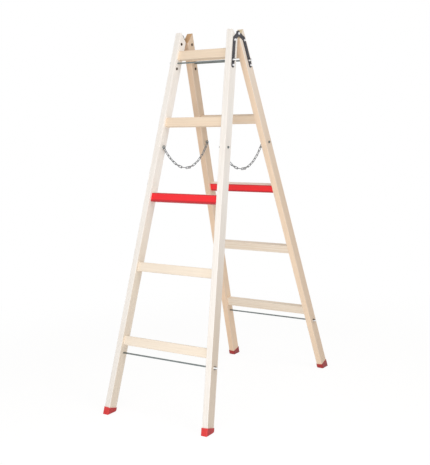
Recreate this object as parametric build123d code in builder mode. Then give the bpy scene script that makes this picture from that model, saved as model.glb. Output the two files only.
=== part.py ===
"""Two-sided wooden step ladder: two rung sections hinged at the top, held from spreading by two chains.

Millimetres, +Z up. The origin is on the floor, midway between the four feet; the front section
stands on the -Y side and X runs along the rungs.
"""

import math
import os

from build123d import *

os.makedirs("parts", exist_ok=True)

# Stance: where the fold pivot is and how far each section leans when the ladder stands
PIVOT_HEIGHT = 1412.0
LEAN = 16.5
HINGE_GAP = 1.0  # from the pivot to the inner face of a section's stiles

# Stiles: outer half width of a section at the pivot and its growth down the stile
TOP_HALF_WIDTH = 131.5
TAPER = 0.0738
STILE_WIDTH = 25.0
STILE_DEPTH = 41.0
STILE_ROUND = 1.6
STILE_RISE = 5.5  # top of the stile above the pivot
TOP_FLAT = 3.0  # flat left at the top, along the outer edge
BEVEL_DROP = 26.5  # slant of the top, from that flat down to the inner face

# Rungs: top edges measured down the stile from the pivot
FIRST_RUNG = 63.5
SECOND_RUNG = 327.5
THIRD_RUNG = 621.5
FOURTH_RUNG = 893.5
FIFTH_RUNG = 1180.0
RUNG_HEIGHT = 35.0
RUNG_DEPTH = 22.0
RUNG_ROUND = 3.0
TENON = 15.0
FIT = 0.1  # clearance round a tenon, a bolt or a foot

# Feet
FOOT_WALL = 2.0
FOOT_SOLE = 6.0
FRONT_FOOT_LENGTH = 22.8  # from the floor to the rim, along the middle of the stile
BACK_FOOT_LENGTH = 27.0
FOOT_ROUND = 4.0
FOOT_HEEL = 8.0  # rounding of the sole's edge on the side of the gap

# Tie rods below the first and the last rung; the upper one also passes through the straps
ROD_RADIUS = 3.0
ROD_CHAMFER = 0.6
TOP_ROD_DROP = 12.5
BOTTOM_ROD_DROP = 30.5
ROD_HOLE_CLEARANCE = 0.3
WASHER_RADIUS = 6.5
WASHER_THICK = 1.5
ROD_NUT_FLATS = 10.0
ROD_NUT_THICK = 5.0
ROD_PAST_NUT = 2.0  # end of a rod beyond the flats of its nut
CAP_DOME = 5.0  # dome of the closed nuts on the rods
CAP_EDGE = 0.4  # step from the flats of such a nut to its dome

# Strap hinges, on the outer faces; the back ones are cranked inward at the pivot, under the front ones
STRAP_WIDTH = 15.5
STRAP_THICK = 3.0
STRAP_LINE = 25.0  # middle of the strap, from the inner face of the stile
STRAP_BEND = 27.0  # where the strap turns from the stile towards the pivot, below the pivot
STRAP_PEAK = 2.7  # how much farther a strap's end stands out above the pivot than beside it
STRAP_TAIL = 8.5  # end of the strap below its lower bolt
STRAP_STACK_GAP = 0.8  # between the front and the back strap at the pivot
CRANK_ROOM = 1.0  # free run from the eye to the crank
RIVET_RADIUS = 3.5
RIVET_HEAD_RADIUS = 5.0
RIVET_HEAD_THICK = 2.6
RIVET_SEAT = 0.6
PIN_CLEARANCE = 0.06

# Bolts through strap and stile, above and below the upper tie rod
BOLT_ABOVE_ROD = 77.8
BOLT_BELOW_ROD = 19.8
BOLT_RADIUS = 2.5
BOLT_HEAD_RADIUS = 5.5
BOLT_HEAD_THICK = 3.2
HEAD_RIM = 0.8  # straight edge of a domed head
BOLT_NUT_FLATS = 8.0
BOLT_NUT_THICK = 4.5
BOLT_PAST_NUT = 2.5
THREAD_CLEARANCE = 0.12

# Eye bolts that carry the chains
EYE_STATION = 441.6
EYE_DEPTH = 22.0
EYE_RADIUS = 5.0
EYE_WIRE = 3.5
EYE_REACH = 7.1  # ring centre from the inner side of a stile
EYE_SHANK_RADIUS = 2.5
EYE_NUT_FLATS = 8.0
EYE_NUT_THICK = 4.0
EYE_THREAD_PAST_NUT = 1.0

# Chains: oval wire links, flat ones and upright ones by turns, hung from eye to eye
LINK_WIRE = 2.8
LINK_BOW = 3.7  # radius of a link's end bow, at the middle of the wire
LINK_STRAIGHT = 16.6
LONG_STRAIGHT = 25.7  # the same for the three lowest links
PAIRS_PER_HALF = 4
MIDDLE_HOOK = 6.6  # from the middle of the chain to the wire hooked in the lowest link on either side

SECTIONS = {"front": -1, "back": 1}
SIDES = {"left": -1, "right": 1}

lean = math.radians(LEAN)
splay = math.atan(TAPER)
pivot = Vector(0, 0, PIVOT_HEIGHT)
rung_tops = (FIRST_RUNG, SECOND_RUNG, THIRD_RUNG, FOURTH_RUNG, FIFTH_RUNG)
top_rod = FIRST_RUNG + RUNG_HEIGHT + TOP_ROD_DROP
bottom_rod = FIFTH_RUNG + RUNG_HEIGHT + BOTTOM_ROD_DROP
bolt_stations = (top_rod - BOLT_ABOVE_ROD, top_rod + BOLT_BELOW_ROD)
strap_end = bolt_stations[1] + STRAP_TAIL
crank = STRAP_THICK + STRAP_STACK_GAP
strap_lifts = {"front": 0.0, "back": -crank}  # height of a strap's eye above the stile's outer face
crank_start = STRAP_WIDTH / 2 + CRANK_ROOM
crank_end = crank_start + crank
bevel_turn = math.atan2(BEVEL_DROP, STILE_DEPTH - TOP_FLAT)
stile_thick = STILE_WIDTH * math.cos(splay)
stile_middle = STILE_DEPTH / 2
rod_ends = ((top_rod, STRAP_LINE, STRAP_THICK), (bottom_rod, stile_middle, 0.0))  # station, depth, seat
stile_reach = (PIVOT_HEIGHT + STILE_DEPTH) / math.cos(lean)
floor_station = (PIVOT_HEIGHT + (HINGE_GAP + stile_middle) * math.sin(lean)) / math.cos(lean)
foot_rims = {"front": floor_station - FRONT_FOOT_LENGTH, "back": floor_station - BACK_FOOT_LENGTH}
through = 2 * (TOP_HALF_WIDTH + TAPER * stile_reach)  # longer than any hole that goes right through
chain_x = TOP_HALF_WIDTH + TAPER * EYE_STATION - STILE_WIDTH - EYE_REACH
link_straights = [LINK_STRAIGHT] * (2 * PAIRS_PER_HALF - 1) + [LONG_STRAIGHT]


def section_plane(section):
    """Plane on a section's inner face: y runs up the stiles from the pivot, z points away from the gap."""
    away = SECTIONS[section]
    normal = Vector(0, away * math.cos(lean), math.sin(lean))
    return Plane(origin=pivot + normal * HINGE_GAP, x_dir=(-away, 0, 0), z_dir=normal)


def cross_plane(section):
    """Upright plane through the middle of a section: x runs up the stiles, y away from the gap."""
    plane = section_plane(section)
    return Plane(origin=plane.origin, x_dir=plane.y_dir, z_dir=plane.x_dir)


def hand(section, side):
    """Sign of the section plane's x axis for a side of the ladder, seen from the front."""
    return -SECTIONS[section] * SIDES[side]


def face_plane(section, side, height=0.0):
    """Plane on a stile's outer face, or height above it: x runs up the stile edge, z points outward."""
    plane = section_plane(section)
    sign = hand(section, side)
    normal = plane.x_dir * (sign * math.cos(splay)) + plane.y_dir * math.sin(splay)
    along = plane.x_dir * (-sign * math.sin(splay)) + plane.y_dir * math.cos(splay)
    corner = plane.origin + plane.x_dir * (sign * TOP_HALF_WIDTH)
    return Plane(origin=corner + normal * height, x_dir=along, z_dir=normal)


def on_face(section, side, station, depth):
    """Point of a face plane at a station below the pivot and a depth from the inner face."""
    return (-station / math.cos(splay), hand(section, side) * depth)


def half_width(station):
    """Outer half width of a section at a station below the pivot."""
    return TOP_HALF_WIDTH + TAPER * station


def stile_blank(section, side, room=0.0):
    """Straight tapered-in stile bar before its ends are cut, grown by room on all four sides."""
    sign = hand(section, side)
    outer = [half_width(s) + room for s in (-STILE_RISE, stile_reach)]
    inner = [x - STILE_WIDTH - 2 * room for x in outer]
    with BuildPart() as bar:
        with BuildSketch(section_plane(section).offset(-room)):
            with BuildLine():
                Polyline(
                    (sign * outer[0], STILE_RISE),
                    (sign * outer[1], -stile_reach),
                    (sign * inner[1], -stile_reach),
                    (sign * inner[0], STILE_RISE),
                    close=True,
                )
            make_face()
        extrude(amount=STILE_DEPTH + 2 * room)
        fillet(bar.edges().sort_by(SortBy.LENGTH)[-4:], STILE_ROUND)
        split(bisect_by=Plane.XY.offset(FOOT_SOLE), keep=Keep.TOP)
    return bar.part


def rung_half_length(station):
    """Half length of a rung, from the middle to the end of its tenon."""
    return half_width(station) - STILE_WIDTH + TENON


def make_stile(section, side):
    """Stile with its top bevelled clear of the hinge, rung mortises and holes for rods, bolts and the eye."""
    sign = hand(section, side)
    cross = cross_plane(section)
    blank = stile_blank(section, side)
    slant = cross.y_dir * math.sin(bevel_turn) - cross.x_dir * math.cos(bevel_turn)
    edge = cross.from_local_coords(Vector(STILE_RISE, STILE_DEPTH - TOP_FLAT))
    with BuildPart() as stile:
        add(blank)
        split(bisect_by=Plane(origin=edge, z_dir=slant), keep=Keep.TOP)
        for station in rung_tops:
            with BuildSketch(cross):
                with Locations((-(station + RUNG_HEIGHT / 2), stile_middle)):
                    RectangleRounded(RUNG_HEIGHT + 2 * FIT, RUNG_DEPTH + 2 * FIT, RUNG_ROUND + FIT)
            extrude(amount=sign * (rung_half_length(station) + FIT), mode=Mode.SUBTRACT)
        with BuildSketch(cross):
            with Locations((-top_rod, STRAP_LINE), (-bottom_rod, stile_middle)):
                Circle(ROD_RADIUS + FIT)
            with Locations((-EYE_STATION, EYE_DEPTH)):
                Circle(EYE_SHANK_RADIUS + FIT)
        extrude(amount=sign * through, mode=Mode.SUBTRACT)
        with BuildSketch(face_plane(section, side, STRAP_THICK)):
            with Locations(*[on_face(section, side, s, STRAP_LINE) for s in bolt_stations]):
                Circle(BOLT_RADIUS + FIT)
        extrude(amount=-STRAP_THICK - stile_thick - STRAP_THICK, mode=Mode.SUBTRACT)
    return stile.part


def make_rung(section, station):
    """Straight rung, tenoned into both stiles."""
    with BuildPart() as rung:
        with BuildSketch(cross_plane(section)):
            with Locations((-(station + RUNG_HEIGHT / 2), stile_middle)):
                RectangleRounded(RUNG_HEIGHT, RUNG_DEPTH, RUNG_ROUND)
        extrude(amount=rung_half_length(station), both=True)
    return rung.part


def make_foot(section, side):
    """Moulded foot cap: a cup round the stile's end whose sole is cut level with the floor."""
    core = stile_blank(section, side, FIT)
    wall = FOOT_WALL + FIT
    face = face_plane(section, side, wall)
    rim = foot_rims[section]
    length = stile_reach - rim
    with BuildPart() as foot:
        with BuildSketch(face):
            with Locations(on_face(section, side, rim + length / 2, stile_middle)):
                Rectangle(length / math.cos(splay), STILE_DEPTH + 2 * wall)
        extrude(amount=-stile_thick - 2 * wall)
        split(bisect_by=Plane.XY, keep=Keep.TOP)
        sole = foot.faces().sort_by(Axis.Z)[0]
        fillet(sole.edges().sort_by(lambda e: abs(e.center().Y))[0], FOOT_HEEL)
        fillet(foot.edges().filter_by(Axis(face.origin, face.x_dir)), FOOT_ROUND)
        add(core, mode=Mode.SUBTRACT)
    return foot.part


def add_bar(start, end):
    """Adds the outline of a round-ended bar, as wide as a strap, to the sketch being drawn."""
    run = end - start
    with Locations((start + end) * 0.5):
        SlotCenterToCenter(run.length, STRAP_WIDTH, rotation=math.degrees(math.atan2(run.Y, run.X)))


def make_strap(section, side):
    """Hinge strap: a flat bar on the stile's outer face, whose upper arm turns over to the pivot."""
    sign = hand(section, side)
    face = face_plane(section, side)
    lift = strap_lifts[section]
    eye = Vector(0, -sign * HINGE_GAP)
    bend = Vector(*on_face(section, side, STRAP_BEND, STRAP_LINE))
    tail = Vector(STRAP_WIDTH / 2 - strap_end / math.cos(splay), sign * STRAP_LINE)
    peak = eye + Vector(math.cos(lean), sign * math.sin(lean)) * STRAP_PEAK
    run = (bend - eye).normalized()
    along = face.x_dir * run.X + face.y_dir * run.Y
    side_view = Plane(origin=face.from_local_coords(eye), x_dir=along, z_dir=along.cross(face.z_dir))
    far = (bend - eye).length + STRAP_WIDTH
    with BuildPart() as strap:
        with BuildSketch(face_plane(section, side, lift)):
            add_bar(eye, bend)
            add_bar(eye, peak)
        extrude(amount=STRAP_THICK - lift)
        if lift:
            with BuildSketch(side_view):
                with BuildLine():
                    Polyline(
                        (-STRAP_WIDTH, lift),
                        (crank_start, lift),
                        (crank_end, 0),
                        (far, 0),
                        (far, STRAP_THICK),
                        (crank_end, STRAP_THICK),
                        (crank_start, lift + STRAP_THICK),
                        (-STRAP_WIDTH, lift + STRAP_THICK),
                        close=True,
                    )
                make_face()
            extrude(amount=STRAP_WIDTH, both=True, mode=Mode.INTERSECT)
        with BuildSketch(face):
            add_bar(bend, tail)
        extrude(amount=STRAP_THICK)
        with BuildSketch(face):
            with Locations(*[on_face(section, side, s, STRAP_LINE) for s in bolt_stations]):
                Circle(BOLT_RADIUS + FIT)
        extrude(amount=STRAP_THICK, mode=Mode.SUBTRACT)
        with BuildSketch(cross_plane(section)):
            with Locations((-top_rod, STRAP_LINE)):
                Circle(ROD_RADIUS + ROD_HOLE_CLEARANCE)
            with Locations((0, -HINGE_GAP)):
                Circle(RIVET_RADIUS + PIN_CLEARANCE)
        extrude(amount=sign * through, mode=Mode.SUBTRACT)
    return strap.part


def add_round_head(seat, radius, thick):
    """Adds a domed head, standing on a seat plane, to the part being built."""
    dome = thick - HEAD_RIM
    ball = (radius**2 + dome**2) / (2 * dome)
    turn = math.degrees(2 * math.atan2(dome, radius))
    with BuildSketch(Plane(origin=seat.origin, x_dir=seat.x_dir, z_dir=-seat.y_dir)) as profile:
        with BuildLine():
            Polyline((0, thick), (0, 0), (radius, 0), (radius, HEAD_RIM))
            CenterArc((0, thick - ball), ball, 90 - turn, turn)
        make_face()
    revolve(profile.sketch, axis=Axis(seat.origin, seat.z_dir))


def make_rivets():
    """Both hinge rivets, on one axis through the fold pivot."""
    inner_seat = TOP_HALF_WIDTH - crank / math.cos(splay) - RIVET_SEAT
    outer_seat = TOP_HALF_WIDTH + STRAP_THICK / math.cos(splay) + RIVET_SEAT
    with BuildPart() as rivets:
        for sign in SIDES.values():
            start = Plane(origin=pivot + Vector(sign * inner_seat, 0, 0), z_dir=(sign, 0, 0))
            with BuildSketch(start):
                Circle(RIVET_RADIUS)
            extrude(amount=outer_seat - inner_seat)
            add_round_head(-start, RIVET_HEAD_RADIUS, RIVET_HEAD_THICK)
            add_round_head(start.offset(outer_seat - inner_seat), RIVET_HEAD_RADIUS, RIVET_HEAD_THICK)
    return rivets.part


def make_strap_bolts(section):
    """Bolts through strap and stile: a domed head on the stile's inner side, a hexagon nut on the strap."""
    with BuildPart() as bolts:
        for side in SIDES:
            inside = face_plane(section, side, -stile_thick)
            spots = [on_face(section, side, s, STRAP_LINE) for s in bolt_stations]
            with BuildSketch(inside):
                with Locations(*spots):
                    Circle(BOLT_RADIUS)
            extrude(amount=stile_thick + STRAP_THICK + BOLT_NUT_THICK + BOLT_PAST_NUT)
            for spot in spots:
                seat = Plane(origin=inside.from_local_coords(spot), x_dir=inside.x_dir, z_dir=-inside.z_dir)
                add_round_head(seat, BOLT_HEAD_RADIUS, BOLT_HEAD_THICK)
            with BuildSketch(face_plane(section, side, STRAP_THICK)):
                with Locations(*spots):
                    RegularPolygon(BOLT_NUT_FLATS / 2, 6, major_radius=False)
                    Circle(BOLT_RADIUS + THREAD_CLEARANCE, mode=Mode.SUBTRACT)
            extrude(amount=BOLT_NUT_THICK)
    return bolts.part


def rod_reach(station, seat):
    """Half length of a tie rod whose washers sit at a height above the stiles' outer faces."""
    return half_width(station) + (seat + WASHER_THICK + ROD_NUT_THICK) / math.cos(splay) + ROD_PAST_NUT


def make_rod(section, station, depth, seat):
    """Straight tie rod across a section, long enough for a nut at each end."""
    with BuildPart() as rod:
        with BuildSketch(cross_plane(section)):
            with Locations((-station, depth)):
                Circle(ROD_RADIUS)
        extrude(amount=rod_reach(station, seat), both=True)
        chamfer(rod.edges().filter_by(GeomType.CIRCLE), ROD_CHAMFER)
    return rod.part


def make_rod_nuts(section):
    """Closed nuts, on washers, at both ends of a section's two tie rods."""
    with BuildPart() as nuts:
        for side in SIDES:
            for station, depth, seat in rod_ends:
                spot = on_face(section, side, station, depth)
                with BuildSketch(face_plane(section, side, seat)):
                    with Locations(spot):
                        Circle(WASHER_RADIUS)
                extrude(amount=WASHER_THICK)
                with BuildSketch(face_plane(section, side, seat + WASHER_THICK)):
                    with Locations(spot):
                        RegularPolygon(ROD_NUT_FLATS / 2, 6, major_radius=False)
                extrude(amount=ROD_NUT_THICK)
                top = face_plane(section, side, seat + WASHER_THICK + ROD_NUT_THICK)
                crown = Plane(origin=top.from_local_coords(spot), x_dir=top.x_dir, z_dir=top.z_dir)
                add_round_head(crown, ROD_NUT_FLATS / 2 - CAP_EDGE, CAP_DOME)
        for station, depth, seat in rod_ends:
            with BuildSketch(cross_plane(section)):
                with Locations((-station, depth)):
                    Circle(ROD_RADIUS + ROD_HOLE_CLEARANCE)
            extrude(amount=rod_reach(station, seat) + ROD_HOLE_CLEARANCE, both=True, mode=Mode.SUBTRACT)
    return nuts.part


def eye_centre(section, side):
    """Centre of the eye ring that carries a chain's end."""
    place = Vector(hand(section, side) * chain_x, -EYE_STATION, EYE_DEPTH)
    return section_plane(section).from_local_coords(place)


def make_eye_bolts(section):
    """Eye bolts through the stiles, ring inside, with a small nut on the outer face."""
    cross = cross_plane(section)
    shank_start = chain_x + EYE_RADIUS
    shank_end = half_width(EYE_STATION) + EYE_NUT_THICK + EYE_THREAD_PAST_NUT
    with BuildPart() as eyes:
        for side in SIDES:
            with BuildSketch(face_plane(section, side)):
                with Locations(on_face(section, side, EYE_STATION, EYE_DEPTH)):
                    RegularPolygon(EYE_NUT_FLATS / 2, 6, major_radius=False)
            extrude(amount=EYE_NUT_THICK)
        with BuildSketch(cross):
            with Locations((-EYE_STATION, EYE_DEPTH)):
                Circle(EYE_SHANK_RADIUS + ROD_HOLE_CLEARANCE)
        extrude(amount=through, both=True, mode=Mode.SUBTRACT)
        for side in SIDES:
            sign = hand(section, side)
            centre = eye_centre(section, side)
            with BuildSketch(Plane(origin=centre, x_dir=(0, 1, 0), z_dir=(1, 0, 0))):
                with Locations((0, -EYE_RADIUS)):
                    Circle(EYE_WIRE / 2)
            revolve(axis=Axis(centre, (0, 1, 0)))
            with BuildSketch(cross.offset(sign * shank_start)):
                with Locations((-EYE_STATION, EYE_DEPTH)):
                    Circle(EYE_SHANK_RADIUS)
            extrude(amount=sign * (shank_end - shank_start))
    return eyes.part


def hanging_chain():
    """Hook points of the front half of a chain at rest, from the eye down to the lowest link.

    Each link hangs at the slope that the weight below it gives; the sideways pull is found by halving
    the interval until the links span the distance between the eyes.
    """
    top = eye_centre("front", "right") + Vector(0, 0, -EYE_RADIUS)
    lengths = [s + 2 * LINK_BOW * (i % 2) for i, s in enumerate(link_straights)]
    below = [sum(lengths[i + 1 :]) + lengths[i] / 2 + MIDDLE_HOOK for i in range(len(lengths))]

    def slopes(pull):
        return [math.atan2(weight, pull) for weight in below]

    low, high = 1e-3, 1e5
    for _ in range(80):
        pull = math.sqrt(low * high)
        span = MIDDLE_HOOK + sum(l * math.cos(a) for l, a in zip(lengths, slopes(pull)))
        if span > -top.Y:
            high = pull
        else:
            low = pull
    points = [Vector(0, top.Y, top.Z)]
    for length, slope in zip(lengths, slopes(pull)):
        points.append(points[-1] + Vector(0, math.cos(slope), -math.sin(slope)) * length)
    return points


def add_link(centre, along, straight, flat):
    """Adds one oval wire link to the part being built.

    A flat link lies in the chain's plane; the others stand across it.
    """
    normal = Vector(1, 0, 0) if flat else Vector(1, 0, 0).cross(along)
    with BuildLine(Plane(origin=centre, x_dir=along, z_dir=normal)) as loop:
        run = Line((-straight / 2, LINK_BOW), (straight / 2, LINK_BOW))
        ThreePointArc((straight / 2, LINK_BOW), (straight / 2 + LINK_BOW, 0), (straight / 2, -LINK_BOW))
        Line((straight / 2, -LINK_BOW), (-straight / 2, -LINK_BOW))
        ThreePointArc((-straight / 2, -LINK_BOW), (-straight / 2 - LINK_BOW, 0), (-straight / 2, LINK_BOW))
    with BuildSketch(Plane(origin=run @ 0, z_dir=run % 0)) as wire:
        Circle(LINK_WIRE / 2)
    sweep(sections=wire.sketch, path=loop.line)


def make_chain_pair(side, first, mirrored):
    """Two hooked links from a numbered hook point on; mirrored ones hang from the back eye."""
    turn = -1 if mirrored else 1
    points = [Vector(SIDES[side] * chain_x, turn * h.Y, h.Z) for h in hooks]
    with BuildPart() as pair:
        for number in (first, first + 1):
            start, end = points[number], points[number + 1]
            flat = number % 2 == 0
            add_link((start + end) * 0.5, (end - start).normalized(), link_straights[number], flat)
    return pair.part


def make_middle_link(side):
    """The lowest link of a chain: its front end holds the front half, the back half can slide in it."""
    start = hooks[-1]
    with BuildPart() as link:
        centre = Vector(SIDES[side] * chain_x, start.Y + LONG_STRAIGHT / 2, start.Z)
        add_link(centre, Vector(0, 1, 0), LONG_STRAIGHT, True)
    return link.part


def write(name, part):
    """Labels a finished piece and writes its STEP file."""
    part.label = name
    export_step(part, f"parts/{name}.step")


for name in SECTIONS:
    for side in SIDES:
        write(f"{name}_stile_{side}", make_stile(name, side))
        write(f"{name}_foot_{side}", make_foot(name, side))
        write(f"{name}_strap_{side}", make_strap(name, side))
    for number, station in enumerate(rung_tops, start=1):
        write(f"{name}_rung_{number}", make_rung(name, station))
    for place, rod_end in zip(("top", "bottom"), rod_ends):
        write(f"{name}_tie_rod_{place}", make_rod(name, *rod_end))
    write(f"{name}_rod_nuts", make_rod_nuts(name))
    write(f"{name}_strap_bolts", make_strap_bolts(name))
    write(f"{name}_eye_bolts", make_eye_bolts(name))

write("hinge_rivets", make_rivets())

hooks = hanging_chain()
middle = PAIRS_PER_HALF + 1
for side in SIDES:
    for pair in range(PAIRS_PER_HALF):
        write(f"chain_{side}_{pair + 1}", make_chain_pair(side, 2 * pair, False))
        write(f"chain_{side}_{2 * middle - 1 - pair}", make_chain_pair(side, 2 * pair, True))
    write(f"chain_{side}_{middle}", make_middle_link(side))
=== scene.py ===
"""Looks of a two-sided wooden step ladder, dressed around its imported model.

Metres, in the model's own frame: X along the rungs, Y from the front section to the back one, and
Z up.
"""

import logging
import math
from dataclasses import dataclass, field
from enum import Enum

import bpy
from mathutils import Matrix, Vector

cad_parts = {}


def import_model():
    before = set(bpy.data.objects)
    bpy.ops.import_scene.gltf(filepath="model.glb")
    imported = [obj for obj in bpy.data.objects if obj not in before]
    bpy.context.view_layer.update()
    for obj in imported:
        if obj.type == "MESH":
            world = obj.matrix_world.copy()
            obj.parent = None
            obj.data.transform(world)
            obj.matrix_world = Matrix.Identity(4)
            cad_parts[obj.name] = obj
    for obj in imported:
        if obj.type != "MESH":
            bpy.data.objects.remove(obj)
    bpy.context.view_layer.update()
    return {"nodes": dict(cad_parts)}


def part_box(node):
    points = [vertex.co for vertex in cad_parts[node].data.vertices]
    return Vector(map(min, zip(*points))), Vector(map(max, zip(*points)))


log = logging.getLogger("ladder")

Node = bpy.types.Node
Socket = bpy.types.NodeSocket
Material = bpy.types.Material
Number = float | Socket
Span = tuple[float, float]
Triple = tuple[float, float, float]
Colour = tuple[float, float, float, float]

LEAN = math.radians(16.5)  # of each section, from the vertical
TAPER = 0.0738  # how far a stile moves outwards per length down the section
STEEL_RELIEF = 0.00003  # depth of the lines and stains on steel
CHAIN_STRETCHES = 9  # nodes that make up one chain
X_AXIS = Vector((1.0, 0.0, 0.0)).freeze()
Y_AXIS = Vector((0.0, 1.0, 0.0)).freeze()
Z_AXIS = Vector((0.0, 0.0, 1.0)).freeze()
UNIT: Span = (0.0, 1.0)
FALLING: Span = (1.0, 0.0)
WHITE: Colour = (1.0, 1.0, 1.0, 1.0)


class Section(Enum):
    """The two hinged halves of the ladder; the value is the side of the gap that each stands on."""

    FRONT = -1
    BACK = 1

    @property
    def label(self) -> str:
        """Name of the section as the model's nodes begin with it."""
        return self.name.lower()

    @property
    def up(self) -> Vector:
        """Direction up along the section."""
        return Vector((0.0, -self.value * math.sin(LEAN), math.cos(LEAN)))

    @property
    def outward(self) -> Vector:
        """Direction square to the section, away from the gap."""
        return Vector((0.0, self.value * math.cos(LEAN), math.sin(LEAN)))


class Side(Enum):
    """Left and right as seen from the front section; the value is the sign of X."""

    LEFT = -1
    RIGHT = 1

    @property
    def label(self) -> str:
        """Name of the side as the model's nodes end with it."""
        return self.name.lower()


def srgb(red: int, green: int, blue: int) -> Colour:
    """Linear colour of an sRGB triple.

    Args:
        red, green, blue: Channels from 0 to 255.

    Returns:
        Linear red, green, blue and an alpha of one.
    """

    def linear(value: int) -> float:
        """One channel made linear, by the curve of the sRGB standard."""
        share = value / 255
        return share / 12.92 if share <= 0.04045 else ((share + 0.055) / 1.055) ** 2.4

    return linear(red), linear(green), linear(blue), 1.0


@dataclass(frozen=True)
class WoodLook:
    """What sets the wood of one piece apart from the others', painted light and shade included.

    Attributes:
        tone, foot_tone: How light its upper end and its lower end are: partly the wood itself,
            partly painted light and shade.
        heart: Painted shade on the face towards the gap.
        sawn: Colour where the grain is cut across, darker end grain with painted shade in it.
        aged: Painted shade on the left and right sides.
        aged_full, aged_end: Heights from the piece's middle over which the painted shade on the
            sides ends.
    """

    tone: float = 1.0
    foot_tone: float = 1.0
    heart: Colour = srgb(240, 208, 178)
    sawn: Colour = srgb(206, 166, 124)
    aged: Colour = srgb(236, 224, 208)
    aged_full: float = -0.25
    aged_end: float = 0.25


# Each stile's wood, with painted light along it and painted shade on its gap face and sides.
STILE_LOOKS = {
    (Section.FRONT, Side.LEFT): WoodLook(tone=1.03, foot_tone=0.96),
    (Section.FRONT, Side.RIGHT): WoodLook(
        foot_tone=0.955, aged=srgb(226, 212, 196), aged_full=-0.5, aged_end=0.15
    ),
    (Section.BACK, Side.LEFT): WoodLook(
        tone=0.87,
        foot_tone=1.15,
        heart=srgb(240, 210, 180),
        aged=srgb(238, 212, 185),
        aged_full=0.7,
        aged_end=1.2,
    ),
    (Section.BACK, Side.RIGHT): WoodLook(
        tone=0.99,
        foot_tone=1.05,
        heart=srgb(248, 223, 196),
        sawn=srgb(234, 216, 184),
        aged=srgb(231, 208, 184),
        aged_full=0.0,
        aged_end=1.4,
    ),
}

# Painted light on the lower rungs: the back ones lighter, the front ones a little darker.
LOWER_RUNG_LOOKS = {
    Section.FRONT: WoodLook(tone=0.98, foot_tone=0.98),
    Section.BACK: WoodLook(tone=1.06, foot_tone=1.06),
}


class Wiring:
    """Adds nodes to a node tree and links them."""

    measures = ("DOT_PRODUCT", "LENGTH")  # vector operations that give a number
    colour_inputs = (6, 7)  # where a Mix node takes its two colours
    colour_output = 2  # where it gives the mixed one

    def __init__(self, tree: bpy.types.NodeTree) -> None:
        """Keeps the tree that nodes are added to.

        Args:
            tree: Node tree of a material, a world or a node group.
        """
        self.tree = tree

    def add(self, kind: str, **settings: object) -> Node:
        """Adds one node.

        Args:
            kind: Node type, as Blender names it.
            **settings: Properties to set on the node.

        Returns:
            The new node.
        """
        node = self.tree.nodes.new(kind)
        for name, value in settings.items():
            setattr(node, name, value)
        return node

    def feed(self, socket: Socket, value: object) -> None:
        """Links a socket to an output, or sets it where the value is plain.

        Args:
            socket: Input socket.
            value: Output socket, number, vector or colour.
        """
        if isinstance(value, Socket):
            self.tree.links.new(value, socket)
        else:
            socket.default_value = value

    def fill(self, node: Node, **values: object) -> Node:
        """Feeds several inputs of a node.

        Args:
            node: Node to feed.
            **values: Inputs by name, with spaces written as underscores.

        Returns:
            The same node.
        """
        for name, value in values.items():
            self.feed(node.inputs[name.replace("_", " ")], value)
        return node

    def math(
        self, operation: str, first: Number, second: Number = 0.0, third: Number = 0.0
    ) -> Socket:
        """Adds a Math node.

        Args:
            operation: Operation, as Blender names it.
            first, second, third: Operands.

        Returns:
            The result's socket.
        """
        node = self.add("ShaderNodeMath", operation=operation)
        for socket, value in zip(node.inputs, (first, second, third)):
            self.feed(socket, value)
        return node.outputs[0]

    def vector(self, operation: str, first: object, second: object = (0.0, 0.0, 0.0)) -> Socket:
        """Adds a Vector Math node.

        Args:
            operation: Operation, as Blender names it.
            first, second: Vectors.

        Returns:
            The result's socket, a number where the operation measures something.
        """
        node = self.add("ShaderNodeVectorMath", operation=operation)
        self.feed(node.inputs[0], first)
        self.feed(node.inputs[1], second)
        return node.outputs["Value" if operation in self.measures else "Vector"]

    def split(self, vector: Socket) -> Node:
        """Adds a node that takes a vector apart.

        Args:
            vector: Vector to take apart.

        Returns:
            The node, whose outputs are X, Y and Z.
        """
        return self.fill(self.add("ShaderNodeSeparateXYZ"), Vector=vector)

    def ramp(self, value: Number, span: Span, results: Span = UNIT) -> Socket:
        """Maps a value smoothly from one range to another.

        Args:
            value: Value to map.
            span: Where the change begins and ends.
            results: Result at each end.

        Returns:
            The mapped value's socket.
        """
        node = self.add("ShaderNodeMapRange", interpolation_type="SMOOTHSTEP")
        for socket, item in zip(node.inputs, (value, *span, *results)):
            self.feed(socket, item)
        return node.outputs[0]

    def noise(
        self, vector: Socket, scale: Number = 1.0, detail: float = 2.0, rough: float = 0.5
    ) -> Node:
        """Adds a Noise Texture node.

        Args:
            vector: Coordinates.
            scale: Noise scale.
            detail: Number of octaves.
            rough: How strong the finer octaves are.

        Returns:
            The node, whose outputs are a value and a colour.
        """
        node = self.add("ShaderNodeTexNoise")
        return self.fill(node, Vector=vector, Scale=scale, Detail=detail, Roughness=rough)

    def mix(
        self, share: Number, first: object, second: object, most: float = 1.0, blend: str = "MIX"
    ) -> Socket:
        """Mixes two colours.

        Args:
            share: Share of the second colour.
            first, second: Colours.
            most: What the share is multiplied by.
            blend: Blend mode, as Blender names it.

        Returns:
            The mixed colour's socket.
        """
        if most != 1.0:
            share = self.math("MULTIPLY", share, most)
        node = self.add("ShaderNodeMix", data_type="RGBA", blend_type=blend)
        self.feed(node.inputs["Factor"], share)
        for index, colour in zip(self.colour_inputs, (first, second)):
            self.feed(node.inputs[index], colour)
        return node.outputs[self.colour_output]


def empty_wiring(owner: Material | bpy.types.World) -> Wiring:
    """Gives a material or a world an empty node tree.

    Args:
        owner: Material or world.

    Returns:
        Wiring of its tree.
    """
    owner.use_nodes = True
    owner.node_tree.nodes.clear()
    return Wiring(owner.node_tree)


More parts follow.
